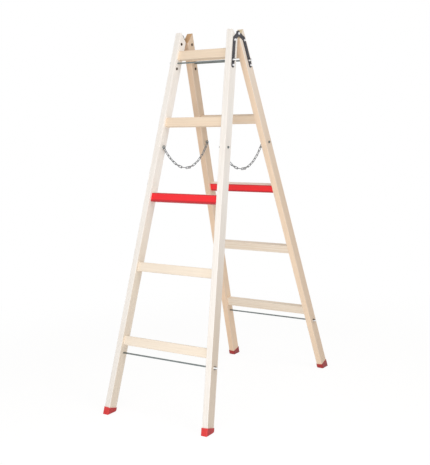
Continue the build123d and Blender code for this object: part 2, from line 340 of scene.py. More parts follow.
class Effect:
    """A shader node group that several finishes share, built once.

    Attributes:
        name: Name of the group.
        inputs: Names and socket types of its inputs, all of which are fed wherever it is placed.
    """

    name: str = ""
    inputs: tuple[tuple[str, str], ...] = ()

    def wire(self, wiring: Wiring, given: dict[str, Socket]) -> dict[str, Socket]:
        """Builds the inside of the group.

        Args:
            wiring: Wiring of the group's own tree.
            given: Sockets of the group's inputs by name.

        Returns:
            Numbers that feed the group's outputs, by name.
        """
        raise NotImplementedError

    def tree(self) -> bpy.types.NodeTree:
        """The group's node tree, made on first use.

        Returns:
            The shared node tree.
        """
        found = bpy.data.node_groups.get(self.name)
        if found is not None:
            return found
        group = bpy.data.node_groups.new(self.name, "ShaderNodeTree")
        for name, kind in self.inputs:
            group.interface.new_socket(name=name, in_out="INPUT", socket_type=kind)
        wiring = Wiring(group)
        entry = wiring.add("NodeGroupInput")
        made = self.wire(wiring, {name: entry.outputs[name] for name, _ in self.inputs})
        for name in made:
            group.interface.new_socket(name=name, in_out="OUTPUT", socket_type="NodeSocketFloat")
        leave = wiring.add("NodeGroupOutput")
        for name, socket in made.items():
            wiring.feed(leave.inputs[name], socket)
        return group

    def place(self, wiring: Wiring, **values: object) -> Node:
        """Places the group in a material.

        Args:
            wiring: Wiring of the material's tree.
            **values: Inputs by name, with spaces written as underscores.

        Returns:
            The group node.
        """
        return wiring.fill(wiring.add("ShaderNodeGroup", node_tree=self.tree()), **values)


class PineGrain(Effect):
    """Growth rings, fibres and resin flecks of sawn pine; X of the coordinates follows the grain.

    Attributes:
        bend_scale, fibre_scale, fleck_scale: How fine bends, fibres and flecks are, on each axis.
        bend: How far the rings are bent.
        noise_middle: Mean of a noise's colour.
        cross_section: Factor that leaves only the axes across the grain.
        ring_width: Width of one growth ring.
        late_rise, late_fall: Parts of a ring over which its late wood darkens, and ends.
        ring_spread, ring_least: How much the rings differ in strength, and the weakest one's.
        fleck_span: Noise values over which a fleck appears.
        late_relief: How deep the late wood lies, against the fibres' height.
    """

    name = "Pine Grain"
    inputs = (("Vector", "NodeSocketVector"), ("Pith", "NodeSocketVector"))
    bend_scale: Triple = (1.6, 16.0, 16.0)
    bend: float = 0.006
    noise_middle: Triple = (0.5, 0.5, 0.5)
    cross_section: Triple = (0.0, 1.0, 1.0)
    ring_width: float = 0.0032
    late_rise: Span = (0.35, 0.93)
    late_fall: Span = (0.93, 1.0)
    ring_spread: float = 0.55
    ring_least: float = 0.45
    fibre_scale: Triple = (7.0, 620.0, 620.0)
    fleck_scale: Triple = (45.0, 1500.0, 1500.0)
    fleck_span: Span = (0.66, 0.76)
    late_relief: float = 0.5

    def wire(self, wiring: Wiring, given: dict[str, Socket]) -> dict[str, Socket]:
        """Builds rings round a pith line beside the piece, bent by slow noise along the grain."""
        place = given["Vector"]
        slow = wiring.vector("MULTIPLY", place, self.bend_scale)
        drift = wiring.noise(slow).outputs["Color"]
        scaled = wiring.add("ShaderNodeVectorMath", operation="SCALE")
        centred = wiring.vector("SUBTRACT", drift, self.noise_middle)
        wiring.fill(scaled, Vector=centred, Scale=self.bend)
        bent = wiring.vector("ADD", place, scaled.outputs[0])
        offset = wiring.vector("SUBTRACT", bent, given["Pith"])
        distance = wiring.vector("LENGTH", wiring.vector("MULTIPLY", offset, self.cross_section))
        phase = wiring.math("DIVIDE", distance, self.ring_width)
        part = wiring.math("FRACT", phase)
        rise = wiring.ramp(part, self.late_rise)
        fall = wiring.ramp(part, self.late_fall, FALLING)
        ring = wiring.add("ShaderNodeTexWhiteNoise", noise_dimensions="1D")
        wiring.feed(ring.inputs["W"], wiring.math("FLOOR", phase))
        chance = ring.outputs["Value"]
        strength = wiring.math("MULTIPLY_ADD", chance, self.ring_spread, self.ring_least)
        late = wiring.math("MULTIPLY", wiring.math("MULTIPLY", rise, fall), strength)
        stretched = wiring.vector("MULTIPLY", place, self.fibre_scale)
        fibre = wiring.noise(stretched, detail=3.0, rough=0.6).outputs[0]
        short = wiring.vector("MULTIPLY", place, self.fleck_scale)
        fleck = wiring.ramp(wiring.noise(short, detail=1.0).outputs[0], self.fleck_span)
        height = wiring.math("SUBTRACT", fibre, wiring.math("MULTIPLY", late, self.late_relief))
        return {"Late Wood": late, "Fibre": fibre, "Fleck": fleck, "Height": height}


class EdgeWear(Effect):
    """Worn long edges of a straight bar, broken by noise; Y and Z of the coordinates cross it.

    Attributes:
        noise_span: Noise values over which the wear changes from narrow to wide.
        widths: Narrowest and widest wear, as shares of the reach.
    """

    name = "Edge Wear"
    inputs = (
        ("Vector", "NodeSocketVector"),
        ("Half Size", "NodeSocketVector"),
        ("Reach", "NodeSocketFloat"),
    )
    noise_span: Span = (0.3, 0.75)
    widths: Span = (0.15, 1.5)

    def wire(self, wiring: Wiring, given: dict[str, Socket]) -> dict[str, Socket]:
        """Measures how near a point of the bar's skin is to a long edge."""
        place = given["Vector"]
        size = wiring.vector("ABSOLUTE", place)
        inside = wiring.split(wiring.vector("SUBTRACT", given["Half Size"], size))
        distance = wiring.math("MAXIMUM", inside.outputs["Y"], inside.outputs["Z"])
        broken = wiring.noise(place, scale=60.0, detail=3.0, rough=0.65).outputs[0]
        width = wiring.ramp(broken, self.noise_span, self.widths)
        reach = wiring.math("MULTIPLY", given["Reach"], width)
        return {"Edge": wiring.ramp(wiring.math("DIVIDE", distance, reach), UNIT, FALLING)}


class Mottle(Effect):
    """Slow cloudy variation and fine speckle, for tone and gloss that are never quite even.

    Attributes:
        cloud_span: Noise values over which a cloud appears.
        speckle_fineness: How many times finer the speckle is than the clouds.
    """

    name = "Mottle"
    inputs = (("Vector", "NodeSocketVector"), ("Size", "NodeSocketFloat"))
    cloud_span: Span = (0.25, 0.75)
    speckle_fineness: float = 30.0

    def wire(self, wiring: Wiring, given: dict[str, Socket]) -> dict[str, Socket]:
        """Builds two noises, one at the given size and one much finer."""
        place = given["Vector"]
        scale = wiring.math("DIVIDE", 1.0, given["Size"])
        cloud = wiring.noise(place, scale, detail=4.0, rough=0.55).outputs[0]
        fine = wiring.math("MULTIPLY", scale, self.speckle_fineness)
        speckle = wiring.noise(place, fine).outputs[0]
        return {"Cloud": wiring.ramp(cloud, self.cloud_span), "Speckle": speckle}


class DrawnSteel(Effect):
    """Fine lines along a drawn or rolled bar; X of the coordinates runs along it.

    Attributes:
        line_scale: How fine the lines are, on each axis.
        stain_span: Noise values over which a stain appears.
    """

    name = "Drawn Steel"
    inputs = (("Vector", "NodeSocketVector"),)
    line_scale: Triple = (25.0, 2200.0, 2200.0)
    stain_span: Span = (0.45, 0.75)

    def wire(self, wiring: Wiring, given: dict[str, Socket]) -> dict[str, Socket]:
        """Builds a noise stretched along the bar and a blotchy one."""
        place = given["Vector"]
        stretched = wiring.vector("MULTIPLY", place, self.line_scale)
        lines = wiring.noise(stretched, rough=0.6).outputs[0]
        blotch = wiring.noise(place, scale=55.0, detail=4.0, rough=0.6).outputs[0]
        return {"Lines": lines, "Stain": wiring.ramp(blotch, self.stain_span)}


@dataclass(frozen=True)
class GrainFrame:
    """Where a piece lies and which way it runs, so that its finish follows it.

    Attributes:
        origin: A point on the piece's middle line.
        along: Direction along the piece.
        face: Direction square to its broad face.
    """

    origin: Vector
    along: Vector
    face: Vector

    def across(self) -> Vector:
        """Direction across the piece, along its broad face.

        Returns:
            Unit vector of the piece's own Y axis.
        """
        return self.face.cross(self.along).normalized()

    def coordinates(self, wiring: Wiring) -> Socket:
        """Adds the piece's own coordinates: X along it and Z square to its face.

        Args:
            wiring: Wiring of the material.

        Returns:
            Socket with the coordinates, in metres from the origin.
        """
        x, y = self.along.normalized(), self.across()
        turn = Matrix((x, y, x.cross(y))).transposed().to_euler()
        source = wiring.add("ShaderNodeTexCoord").outputs["Object"]
        mapping = wiring.add("ShaderNodeMapping", vector_type="TEXTURE")
        wiring.fill(mapping, Vector=source, Location=self.origin, Rotation=turn)
        return mapping.outputs[0]


@dataclass(frozen=True)
class Bar(GrainFrame):
    """A straight piece of wood.

    Attributes:
        half: Half sizes in its own axes.
        pith: Where the tree's middle would be, in its own axes.
    """

    half: Vector
    pith: Vector


class Finish:
    """What all finishes have in common."""

    def begin(self, name: str) -> tuple[Material, Wiring, Node]:
        """Starts a node material with a Principled shader.

        Args:
            name: Name of the material.

        Returns:
            The material, its wiring and its shader node.
        """
        material = bpy.data.materials.new(name)
        wiring = empty_wiring(material)
        shader = wiring.add("ShaderNodeBsdfPrincipled")
        wiring.fill(wiring.add("ShaderNodeOutputMaterial"), Surface=shader.outputs["BSDF"])
        return material, wiring, shader

    def bump(self, wiring: Wiring, shader: Node, height: Socket, depth: float) -> None:
        """Raises the surface by a height value.

        Args:
            wiring: Wiring of the material.
            shader: Shader whose normal is bent.
            height: Socket with the height, from 0 to 1.
            depth: Depth of the relief in metres.
        """
        node = wiring.add("ShaderNodeBump")
        wiring.fill(node, Strength=1.0, Distance=depth, Height=height)
        wiring.fill(shader, Normal=node.outputs["Normal"])


@dataclass(frozen=True)
class PineFinish(Finish):
    """Bare planed pine, with painted shade on the face towards the gap and on the sides, and
    browner where cut across, end grain with painted shade in it.

    Attributes:
        early, late: Colours of the early wood, and of the late wood and the flecks.
        warm, worn: Colours that early wood varies towards and worn edges pale towards.
        face_share: How strongly the painted shade on the gap face and the sides shows, from 0 to 1.
        grain_depth: Depth of the grain's relief.
        cloud_size: Size of the clouds of warmer wood.
        edge_reach: How far the wear reaches from an edge.
        warm_share, late_share, fleck_share, edge_share: Most that each of these shows.
        bare_share: How far worn wood is paled.
        gap_facing, side_facing, end_facing: Cosines over which a face counts as such.
        tone_span: Where the lightness along the piece changes, partly painted light, in half
            lengths from the middle.
        fibre_span, fibre_tones: Noise values of dark and light fibres, and their tones.
        roughness: Roughness of early and late wood.
        gloss: Level of the reflections.
    """

    early: Colour = srgb(243, 225, 203)
    late: Colour = srgb(224, 194, 162)
    warm: Colour = srgb(241, 217, 190)
    worn: Colour = srgb(245, 232, 215)
    face_share: float = 0.0
    grain_depth: float = 0.00012
    cloud_size: float = 0.18
    edge_reach: float = 0.0025
    warm_share: float = 0.55
    late_share: float = 0.62
    fleck_share: float = 0.25
    bare_share: float = 0.3
    edge_share: float = 0.45
    gap_facing: Span = (0.5, 0.7)
    side_facing: Span = (0.72, 0.9)
    end_facing: Span = (0.55, 0.75)
    tone_span: Span = (-0.65, 0.85)
    fibre_span: Span = (0.25, 0.75)
    fibre_tones: Span = (0.94, 1.04)
    roughness: Span = (0.62, 0.48)
    gloss: float = 0.35

    def tint_faces(
        self, wiring: Wiring, bar: Bar, height: Socket, facing: Socket, pale: Socket, look: WoodLook
    ) -> Socket:
        """Paints shade on the face towards the gap and on the sides towards the lower end.

        Args:
            wiring: Wiring of the material.
            bar: The piece.
            height: Height along the piece, from its middle.
            facing: Direction that the surface faces.
            pale: Colour of the other faces.
            look: What sets this piece apart.

        Returns:
            Socket of the tinted colour.
        """
        # Painted shade on the face towards the gap.
        inward = wiring.vector("DOT_PRODUCT", facing, -bar.face)
        gap_shaded = wiring.ramp(inward, self.gap_facing, (0.0, self.face_share))
        base = wiring.mix(gap_shaded, pale, look.heart)
        # Painted shade on the sides, towards the lower end.
        sideways = wiring.vector("DOT_PRODUCT", facing, bar.across())
        side = wiring.ramp(wiring.math("ABSOLUTE", sideways), self.side_facing)
        low = wiring.ramp(height, (look.aged_full, look.aged_end), (self.face_share, 0.0))
        return wiring.mix(wiring.math("MULTIPLY", side, low), base, look.aged)

    def material(self, name: str, bar: Bar, look: WoodLook = WoodLook()) -> Material:
        """Makes the finish of one piece.

        Args:
            name: Name of the material.
            bar: The piece.
            look: What sets this piece apart from the others.

        Returns:
            The material.
        """
        material, wiring, shader = self.begin(name)
        place = bar.coordinates(wiring)
        height = wiring.split(place).outputs["X"]
        facing = wiring.add("ShaderNodeTexCoord").outputs["Normal"]
        grain = PineGrain().place(wiring, Vector=place, Pith=bar.pith)
        late = grain.outputs["Late Wood"]
        wear = EdgeWear().place(wiring, Vector=place, Half_Size=bar.half, Reach=self.edge_reach)
        cloud = Mottle().place(wiring, Vector=place, Size=self.cloud_size).outputs["Cloud"]
        pale = wiring.mix(cloud, self.early, self.warm, self.warm_share)
        base = self.tint_faces(wiring, bar, height, facing, pale, look)
        ringed = wiring.mix(late, base, self.late, self.late_share)
        # Painted light along the piece: lighter or darker towards either end, over the wood's own
        # difference.
        ends = tuple(share * bar.half.x for share in self.tone_span)
        tone = wiring.ramp(height, ends, (look.foot_tone, look.tone))
        fibre = wiring.ramp(grain.outputs["Fibre"], self.fibre_span, self.fibre_tones)
        level = wiring.math("MULTIPLY", fibre, tone)
        grey = wiring.add("ShaderNodeCombineColor")
        for socket in grey.inputs:
            wiring.feed(socket, level)
        fibred = wiring.mix(1.0, ringed, grey.outputs[0], blend="MULTIPLY")
        flecked = wiring.mix(grain.outputs["Fleck"], fibred, self.late, self.fleck_share)
        bare = wiring.mix(self.bare_share, base, self.worn)
        rubbed = wiring.mix(wear.outputs["Edge"], flecked, bare, self.edge_share)
        # Cut ends: darker end grain with painted shade in it.
        endwise = wiring.vector("DOT_PRODUCT", facing, bar.along.normalized())
        colour = wiring.mix(wiring.ramp(endwise, self.end_facing), rubbed, look.sawn)
        rough = wiring.ramp(late, UNIT, self.roughness)
        wiring.fill(shader, Base_Color=colour, Roughness=rough, Specular_IOR_Level=self.gloss)
        self.bump(wiring, shader, grain.outputs["Height"], self.grain_depth)
        return material


@dataclass(frozen=True)
class PaintedRungFinish(Finish):
    """Red paint brushed over pine, darker along its upper and lower edges, with a pale tread of
    rubbed paint and a painted reflection.

    Attributes:
        paint: Colour of the paint.
        deep: Colour where it is thicker.
        gathered: Colour along the upper and lower edges, darker.
        tread: Colour of the pale tread, rubbed paint with a painted reflection in it.
        cloud_size, cloud_share: Size of the clouds of thicker paint, and most that they show.
        vein_share: Most that the late wood shows through.
        lower_edge: Heights over the lower edge over which the darker edge colour ends.
        upper_edge, tread_edge: Depths under the upper edge over which it and the tread begin.
        tread_wear: How much the tread's pale colour shows, between the clouds and in them.
        speckle_span, roughness: Noise values of smooth and rough paint, and their roughness.
        paint_depth: Depth of the relief.
    """

    paint: Colour = srgb(243, 33, 42)
    deep: Colour = srgb(228, 24, 34)
    gathered: Colour = srgb(188, 28, 36)
    tread: Colour = srgb(255, 240, 226)
    cloud_size: float = 0.09
    cloud_share: float = 0.35
    vein_share: float = 0.18
    lower_edge: Span = (0.004, 0.0105)
    upper_edge: Span = (0.0065, 0.003)
    tread_edge: Span = (0.0022, 0.0006)
    tread_wear: Span = (0.98, 0.88)
    speckle_span: Span = (0.2, 0.8)
    roughness: Span = (0.36, 0.52)
    paint_depth: float = 0.00007

    def material(self, name: str, bar: Bar, upward: float) -> Material:
        """Makes the finish of one painted rung.

        Args:
            name: Name of the material.
            bar: The rung.
            upward: Sign of the rung's own Y axis that points up.

        Returns:
            The material.
        """
        material, wiring, shader = self.begin(name)
        place = bar.coordinates(wiring)
        height = wiring.math("MULTIPLY", wiring.split(place).outputs["Y"], upward)
        grain = PineGrain().place(wiring, Vector=place, Pith=bar.pith)
        mottle = Mottle().place(wiring, Vector=place, Size=self.cloud_size)
        cloud = mottle.outputs["Cloud"]
        base = wiring.mix(cloud, self.paint, self.deep, self.cloud_share)
        veined = wiring.mix(grain.outputs["Late Wood"], base, self.deep, self.vein_share)
        edge = bar.half.y
        lower = tuple(rise - edge for rise in self.lower_edge)
        upper = tuple(edge - depth for depth in self.upper_edge)
        # Darker along the upper and lower edges.
        bottom = wiring.ramp(height, lower, FALLING)
        top = wiring.ramp(height, upper)
        edged = wiring.mix(wiring.math("MAXIMUM", bottom, top), veined, self.gathered)
        # Pale tread: rubbed paint with a painted reflection of the white surround.
        tread = wiring.ramp(height, tuple(edge - depth for depth in self.tread_edge))
        rubbed = wiring.ramp(cloud, UNIT, self.tread_wear)
        colour = wiring.mix(wiring.math("MULTIPLY", tread, rubbed), edged, self.tread)
        rough = wiring.ramp(mottle.outputs["Speckle"], self.speckle_span, self.roughness)
        wiring.fill(shader, Base_Color=colour, Roughness=rough)
        self.bump(wiring, shader, grain.outputs["Height"], self.paint_depth)
        return material


@dataclass(frozen=True)
class FootFinish(Finish):
    """Red moulded plastic, duller in clouds, with painted shade on its left and right sides.

    Attributes:
        label: Name of the material.
        plastic: Colour of the plastic.
        dull: Colour that it varies towards.
        scuffed: Colour of its left and right sides, painted shade.
        cloud_size, cloud_share: Size of the duller clouds, and most that they show.
        side_facing: Cosines over which a face counts as a side.
        scuff_share: Most that the painted shade on the sides shows.
        roughness: Roughness of bright and dull plastic.
        speckle_depth: Depth of the relief.
    """

    label: str
    plastic: Colour = srgb(221, 56, 54)
    dull: Colour = srgb(192, 40, 42)
    scuffed: Colour = srgb(174, 33, 37)
    cloud_size: float = 0.03
    cloud_share: float = 0.5
    side_facing: Span = (0.5, 0.9)
    scuff_share: float = 0.85
    roughness: Span = (0.32, 0.46)
    speckle_depth: float = 0.00006

    def material(self) -> Material:
        """Makes the finish of the foot caps.

        Returns:
            The material.
        """
        material, wiring, shader = self.begin(self.label)
        source = wiring.add("ShaderNodeTexCoord")
        mottle = Mottle().place(wiring, Vector=source.outputs["Object"], Size=self.cloud_size)
        cloud = mottle.outputs["Cloud"]
        base = wiring.mix(cloud, self.plastic, self.dull, self.cloud_share)
        # Painted shade on the left and right sides.
        across = wiring.vector("DOT_PRODUCT", source.outputs["Normal"], X_AXIS)
        sideways = wiring.math("ABSOLUTE", across)
        side = wiring.ramp(sideways, self.side_facing, (0.0, self.scuff_share))
        colour = wiring.mix(side, base, self.scuffed)
        rough = wiring.ramp(cloud, UNIT, self.roughness)
        wiring.fill(shader, Base_Color=colour, Roughness=rough)
        self.bump(wiring, shader, mottle.outputs["Speckle"], self.speckle_depth)
        return material


@dataclass(frozen=True)
class SteelFinish(Finish):
    """Steel, bare, plated or darkened.

    Attributes:
        label: Name of the material.
        bright: Colour of the clean metal.
        stained: Colour of its stains.
        roughness: Roughness of the clean metal and of the stains.
        metallic: How far it reflects as bare metal does.
        stain_share: Most that the stains show.
        endwise: Share of X in a direction from which on it counts as along X.
    """

    label: str
    bright: Colour
    stained: Colour
    roughness: Span
    metallic: float = 1.0
    stain_share: float = 0.6
    endwise: float = 0.9

    def material(self, along: Vector = X_AXIS) -> Material:
        """Makes the finish.

        Args:
            along: Direction of the drawing or rolling lines.

        Returns:
            The material.
        """
        material, wiring, shader = self.begin(self.label)
        side = X_AXIS if abs(along.x) < self.endwise else Z_AXIS
        place = GrainFrame(Vector(), along, side).coordinates(wiring)
        steel = DrawnSteel().place(wiring, Vector=place)
        stain = steel.outputs["Stain"]
        colour = wiring.mix(stain, self.bright, self.stained, self.stain_share)
        rough = wiring.ramp(stain, UNIT, self.roughness)
        wiring.fill(shader, Base_Color=colour, Roughness=rough, Metallic=self.metallic)
        self.bump(wiring, shader, steel.outputs["Lines"], STEEL_RELIEF)
        return material


@dataclass(frozen=True)
class PlatedFinish(Finish):
    """Plated steel, dark in places with painted shade.

    Attributes:
        label: Name of the material.
        plated: Colour of the plating.
        brown: Colour of the painted shade and of the stains.
        stain_share: Most that the stains show on the plating.
        metallic, roughness: How metallic and how rough plating and shaded places are.
    """

    label: str
    plated: Colour
    brown: Colour
    stain_share: float
    metallic: Span
    roughness: Span = (0.3, 0.55)

    def coat(self, wiring: Wiring, shader: Node, place: Socket, dark_share: Socket) -> None:
        """Gives a shader its colours.

        Args:
            wiring: Wiring of the material.
            shader: Shader to colour.
            place: Coordinates that the stains follow.
            dark_share: Share of the painted shade.
        """
        stain = DrawnSteel().place(wiring, Vector=place).outputs["Stain"]
        toned = wiring.mix(stain, self.plated, self.brown, self.stain_share)
        colour = wiring.mix(dark_share, toned, self.brown)
        rough = wiring.ramp(dark_share, UNIT, self.roughness)
        metallic = wiring.ramp(dark_share, UNIT, self.metallic)
        wiring.fill(shader, Base_Color=colour, Roughness=rough, Metallic=metallic)
        self.bump(wiring, shader, stain, STEEL_RELIEF)


@dataclass(frozen=True)
class BoltFinish(PlatedFinish):
    """Plated nuts on the outside of a section and dark heads on the inner sides of its stiles, dark
    steel with painted shade.

    Attributes:
        pivot: Middle of the fold's axis.
        middle_width: Distance from the ladder's middle to a stile's middle, at the pivot.
        border: How far from there the finish changes, to either side.
    """

    pivot: Vector = field(default_factory=lambda: Vector((0.0, 0.0, 1.412)))
    middle_width: float = 0.119
    border: float = 0.002

    def material(self, up: Vector) -> Material:
        """Makes the finish of one section's bolts.

        Args:
            up: Direction up along the section.

        Returns:
            The material.
        """
        material, wiring, shader = self.begin(self.label)
        place = GrainFrame(self.pivot, up, X_AXIS).coordinates(wiring)
        axes = wiring.split(place)
        width = wiring.math("ABSOLUTE", axes.outputs["Z"])
        level = wiring.math("ADD", width, wiring.math("MULTIPLY", axes.outputs["X"], TAPER))
        limits = (self.middle_width - self.border, self.middle_width + self.border)
        # Painted shade on the heads on the inner sides of the stiles, over dark steel.
        self.coat(wiring, shader, place, wiring.ramp(level, limits, FALLING))
        return material


@dataclass(frozen=True)
class NutFinish(PlatedFinish):
    """Nuts and washers on tie rods, with a painted highlight across the middle and painted shade
    above and below.

    Attributes:
        brown_span: Distances from the rod's middle over which the painted shade begins.
    """

    brown_span: Span = (0.0024, 0.0038)

    def material(self, up: Vector, rods: tuple[Vector, Vector]) -> Material:
        """Makes the finish of one section's rod nuts.

        Args:
            up: Direction up along the section.
            rods: Middles of the two tie rods.

        Returns:
            The material.
        """
        material, wiring, shader = self.begin(self.label)
        places = [GrainFrame(rod, up, X_AXIS).coordinates(wiring) for rod in rods]
        heights = [wiring.math("ABSOLUTE", wiring.split(place).outputs["X"]) for place in places]
        # Painted highlight across the middle, painted shade above and below.
        dark_share = wiring.ramp(wiring.math("MINIMUM", *heights), self.brown_span)
        self.coat(wiring, shader, places[-1], dark_share)
        return material


STILE_PINE = PineFinish(
    early=srgb(247, 244, 240),
    late=srgb(231, 217, 202),
    warm=srgb(243, 236, 229),
    worn=srgb(249, 247, 243),
    face_share=1.0,
)
UPPER_RUNG_PINE = PineFinish()
LOWER_RUNG_PINE = PineFinish(
    early=srgb(245, 234, 219),
    late=srgb(229, 207, 180),
    warm=srgb(242, 227, 208),
    worn=srgb(247, 239, 226),
)
RED_PAINTS = {
    Section.FRONT: PaintedRungFinish(),
    # The back rung's paint is brighter than the front's: painted light.
    Section.BACK: PaintedRungFinish(paint=srgb(255, 34, 42), deep=srgb(246, 26, 36)),
}
FOOT_PLASTICS = {
    Section.FRONT: FootFinish("foot_plastic"),
    # The back feet darker than the front ones: painted shade.
    Section.BACK: FootFinish(
        "aged_foot_plastic",
        plastic=srgb(182, 42, 40),
        dull=srgb(158, 30, 32),
        scuffed=srgb(150, 24, 28),
    ),
}
STRAP_STEEL = SteelFinish(
    "strap_steel",
    bright=srgb(68, 66, 72),
    stained=srgb(51, 49, 54),
    roughness=(0.4, 0.6),
    metallic=0.5,
)
ROD_STEEL = SteelFinish(
    "rod_steel",
    bright=srgb(132, 140, 140),
    stained=srgb(106, 112, 114),
    roughness=(0.35, 0.55),
)
ZINC_PLATE = SteelFinish(
    "zinc_plate",
    bright=srgb(246, 247, 249),
    stained=srgb(222, 224, 228),
    roughness=(0.25, 0.4),
    metallic=0.3,
)
CHAIN_STEEL = SteelFinish(
    "chain_steel",
    bright=srgb(150, 152, 154),
    stained=srgb(112, 114, 117),
    roughness=(0.25, 0.5),
)
NUT_STEEL = NutFinish(
    "nut_steel",
    plated=srgb(238, 240, 242),
    brown=srgb(84, 76, 72),
    stain_share=0.2,
    metallic=(0.6, 0.4),
)
BOLT_STEEL = BoltFinish(
    "bolt_steel",
    plated=srgb(246, 247, 249),
    brown=srgb(74, 60, 46),
    stain_share=0.12,
    metallic=(0.25, 0.5),
)


def dress(node: bpy.types.Object, material: Material) -> None:
    """Gives a node of the model one finish all over.

    Args:
        node: Node's object.
        material: Finish to use.
    """
    for slot in node.material_slots:
        slot.material = material
    log.info("%s wears %s", node.name, material.name)


def middle(node: str) -> Vector:
    """Middle of a node's box.

    Args:
        node: Name of the node.

    Returns:
        The middle, in metres.
    """
    low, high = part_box(node)
    return (low + high) / 2


@dataclass(frozen=True)
class LadderSection:
    """One section: stiles, rungs, feet, straps, rods and fasteners.

    Attributes:
        section: Which of the two sections it is.
        nodes: The model's node objects by name.
        stile_half, rung_half: Half sizes along the piece, across it and square to its face.
        rungs, red_rung: Number of rungs, and of the painted one from the top.
        stile_pith: Distance of a stile's pith across the stile and square to it.
        stile_pith_shift: What is added to the second of these in both sections.
        rung_pith: Distance of a rung's pith across the rung and square to it.
        rung_pith_step: How far that moves with each rung.
    """

    section: Section
    nodes: dict[str, bpy.types.Object]
    stile_half: Vector = field(default_factory=lambda: Vector((0.75, 0.0125, 0.0205)))
    rung_half: Vector = field(default_factory=lambda: Vector((0.2, 0.0175, 0.011)))
    rungs: int = 5
    red_rung: int = 3
    stile_pith: Span = (0.055, 0.05)
    stile_pith_shift: float = -0.02
    rung_pith: Span = (-0.05, 0.04)
    rung_pith_step: Span = (0.02, 0.012)

    def node(self, piece: str) -> bpy.types.Object:
        """Node of this section by the name of its piece.

        Args:
            piece: Name of the piece, without the section's.

        Returns:
            The node's object.
        """
        return self.nodes[f"{self.section.label}_{piece}"]

    def dress_stiles(self) -> None:
        """Dresses both stiles, each with the grain running along it and rings of its own."""
        for side in Side:
            node = self.node(f"stile_{side.label}")
            along = self.section.up - side.value * TAPER * X_AXIS
            across = self.stile_pith[0] * side.value
            square = self.stile_pith[1] * self.section.value + self.stile_pith_shift
            pith = Vector((0.0, across, square))
            bar = Bar(middle(node.name), along, self.section.outward, self.stile_half, pith)
            look = STILE_LOOKS[self.section, side]
            dress(node, STILE_PINE.material(f"pine_{node.name}", bar, look))

    def dress_rungs(self) -> None:
        """Dresses the rungs, each with rings of its own, and the marked one in red paint."""
        red, look = RED_PAINTS[self.section], LOWER_RUNG_LOOKS[self.section]
        for number in range(1, self.rungs + 1):
            node = self.node(f"rung_{number}")
            across = self.rung_pith[0] + self.rung_pith_step[0] * number
            square = self.rung_pith[1] + self.rung_pith_step[1] * number * self.section.value
            pith = Vector((0.0, across, square))
            bar = Bar(middle(node.name), X_AXIS, self.section.outward, self.rung_half, pith)
            if number < self.red_rung:
                material = UPPER_RUNG_PINE.material(f"pine_{node.name}", bar)
            elif number > self.red_rung:
                material = LOWER_RUNG_PINE.material(f"pine_{node.name}", bar, look)
            else:
                material = red.material(f"red_{node.name}", bar, -self.section.value)
            dress(node, material)

    def dress_feet(self) -> None:
        """Dresses the foot caps."""
        plastic = FOOT_PLASTICS[self.section].material()
        for side in Side:
            dress(self.node(f"foot_{side.label}"), plastic)

    def dress_hardware(self) -> None:
        """Dresses straps, tie rods and fasteners."""
        dark = STRAP_STEEL.material(self.section.up)
        drawn = ROD_STEEL.material()
        for side in Side:
            dress(self.node(f"strap_{side.label}"), dark)
        for piece in ("tie_rod_top", "tie_rod_bottom", "eye_bolts"):
            dress(self.node(piece), drawn)
        rods = tuple(middle(self.node(f"tie_rod_{end}").name) for end in ("top", "bottom"))
        dress(self.node("rod_nuts"), NUT_STEEL.material(self.section.up, rods))
        dress(self.node("strap_bolts"), BOLT_STEEL.material(self.section.up))


def dress_chains(nodes: dict[str, bpy.types.Object]) -> None:
    """Dresses both chains between the sections.

    Args:
        nodes: The model's node objects by name.
    """
    material = CHAIN_STEEL.material(Y_AXIS)
    for side in Side:
        for number in range(1, CHAIN_STRETCHES + 1):
            dress(nodes[f"chain_{side.label}_{number}"], material)


@dataclass(frozen=True)
class PhotoCamera:
    """Camera at the photograph's place.

    Attributes:
        place: Where the lens is.
        azimuth: Turn about the vertical, from looking along +Y.
        elevation: Angle that the view looks down by.
        roll: Turn of the picture about the view.
        focal_pixels, width_pixels: Focal length and width of the picture, in its pixels.
        sensor_mm: Width of the sensor that stands for it.
    """

    place: Vector = field(default_factory=lambda: Vector((1.98359, -2.90067, 1.19605)))
    azimuth: float = math.radians(34.49)
    elevation: float = math.radians(8.90)
    roll: float = math.radians(2.19)
    focal_pixels: float = 893.66
    width_pixels: int = 430
    sensor_mm: float = 36.0

    def build(self) -> None:
        """Adds the camera and makes it the scene's."""
        level = math.cos(self.elevation)
        east, north = -math.sin(self.azimuth) * level, math.cos(self.azimuth) * level
        ahead = Vector((east, north, -math.sin(self.elevation)))
        right = ahead.cross(Z_AXIS).normalized()
        down = ahead.cross(right)
        turned = right * math.cos(self.roll) + down * math.sin(self.roll)
        lower = down * math.cos(self.roll) - right * math.sin(self.roll)
        lens = bpy.data.cameras.new("photo_camera")
        lens.sensor_fit = "HORIZONTAL"
        lens.sensor_width = self.sensor_mm
        lens.lens = self.focal_pixels * self.sensor_mm / self.width_pixels
        camera = bpy.data.objects.new("photo_camera", lens)
        axes = Matrix((turned, -lower, -ahead)).transposed().to_4x4()
        camera.matrix_world = Matrix.Translation(self.place) @ axes
        bpy.context.scene.collection.objects.link(camera)
        bpy.context.scene.camera = camera


@dataclass(frozen=True)
class Lamp:
    """One square lamp, which the camera doesn't see.

    Attributes:
        name: Name of the lamp.
        place: Where it hangs.
        size: Side of its square.
        power: Power in watts.
    """

    name: str
    place: Triple
    size: float
    power: float

    def build(self, target: Vector) -> None:
        """Adds the lamp.

        Args:
            target: Where it points.
        """
        lamp = bpy.data.lights.new(self.name, "AREA")
        lamp.shape = "SQUARE"
        lamp.size = self.size
        lamp.energy = self.power
        item = bpy.data.objects.new(self.name, lamp)
        item.visible_camera = False
        item.location = self.place
        view = target - Vector(self.place)
        item.rotation_euler = view.to_track_quat("-Z", "Y").to_euler()
        bpy.context.scene.collection.objects.link(item)


